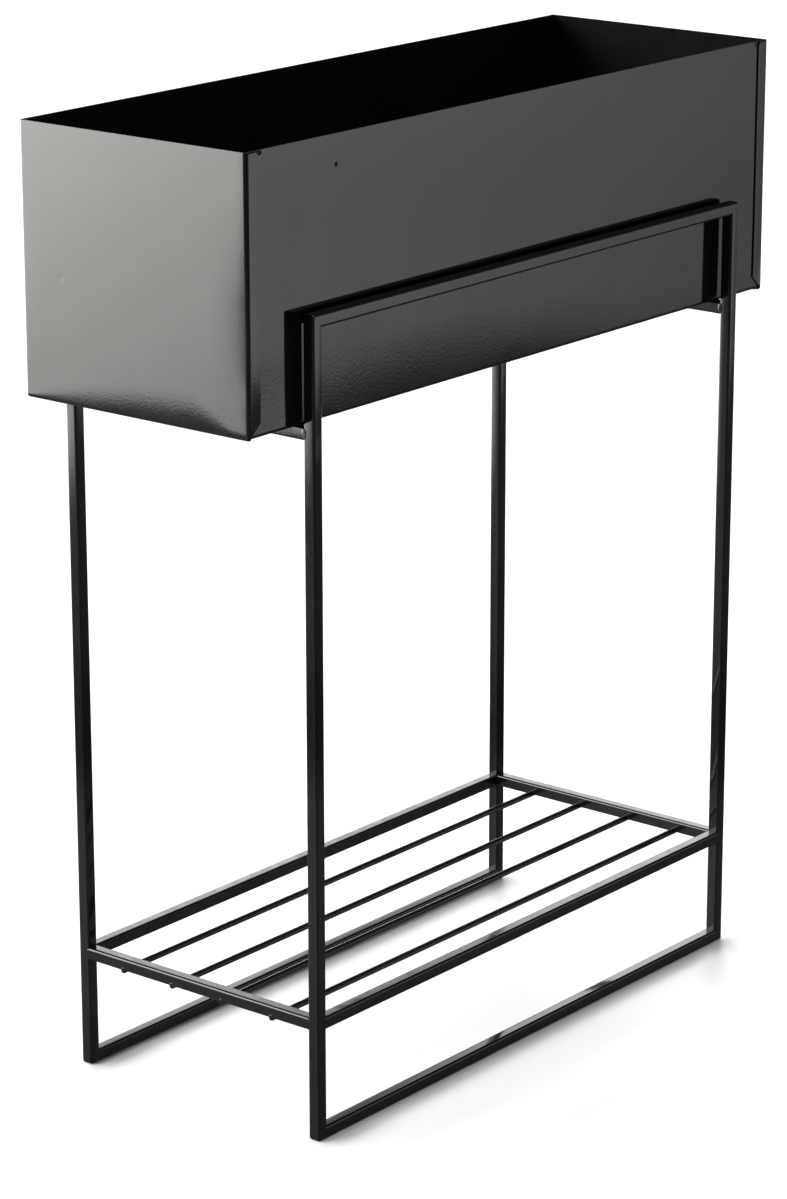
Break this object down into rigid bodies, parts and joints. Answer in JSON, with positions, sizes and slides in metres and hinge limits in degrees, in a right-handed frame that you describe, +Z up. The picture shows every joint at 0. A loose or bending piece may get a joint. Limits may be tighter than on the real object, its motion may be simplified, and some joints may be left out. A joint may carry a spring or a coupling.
{
  "type": "raised planter on legs",
  "caption": "Long folded sheet-metal planter trough standing loose in a welded square-tube stand with mitred side frames and a low shelf of round rods.",
  "frame": {"origin": "on the floor, under the middle of the trough", "axes": "+Z up, +X along the trough, -Y is the front; left is -X and right is +X"},
  "size_m": [0.64, 0.242, 0.754],
  "materials": {
    "stand_coat": "semi-gloss black powder coat",
    "rod_coat": "semi-gloss black powder coat",
    "weld_coat": "black powder coat over ground weld metal",
    "trough_coat": "glossy black powder coat with a fine orange peel"
  },
  "bodies": {
    "stand": {"leg_front_left": "stand_coat", "leg_front_right": "stand_coat", "leg_back_left": "stand_coat", "leg_back_right": "stand_coat", "top_rail_front": "stand_coat", "top_rail_back": "stand_coat", "bottom_rail_front": "stand_coat", "bottom_rail_back": "stand_coat", "cross_bar_left": "stand_coat", "cross_bar_right": "stand_coat", "shelf_end_left": "stand_coat", "shelf_end_right": "stand_coat", "shelf_rail_front": "stand_coat", "shelf_rail_back": "stand_coat", "shelf_rod_1": "rod_coat", "shelf_rod_2": "rod_coat", "shelf_rod_3": "rod_coat", "shelf_rod_4": "rod_coat", "cross_bar_welds": "weld_coat", "shelf_end_welds": "weld_coat", "shelf_rail_welds": "weld_coat", "rod_welds": "weld_coat"},
    "trough": {"trough_body": "trough_coat", "end_cap_left": "trough_coat", "end_cap_right": "trough_coat"}
  },
  "joints": [
    {"name": "trough_lift", "type": "slide", "parent": "stand", "child": "trough", "axis": [0, 0, 1], "range_m": [0, 0.1]}
  ]
}
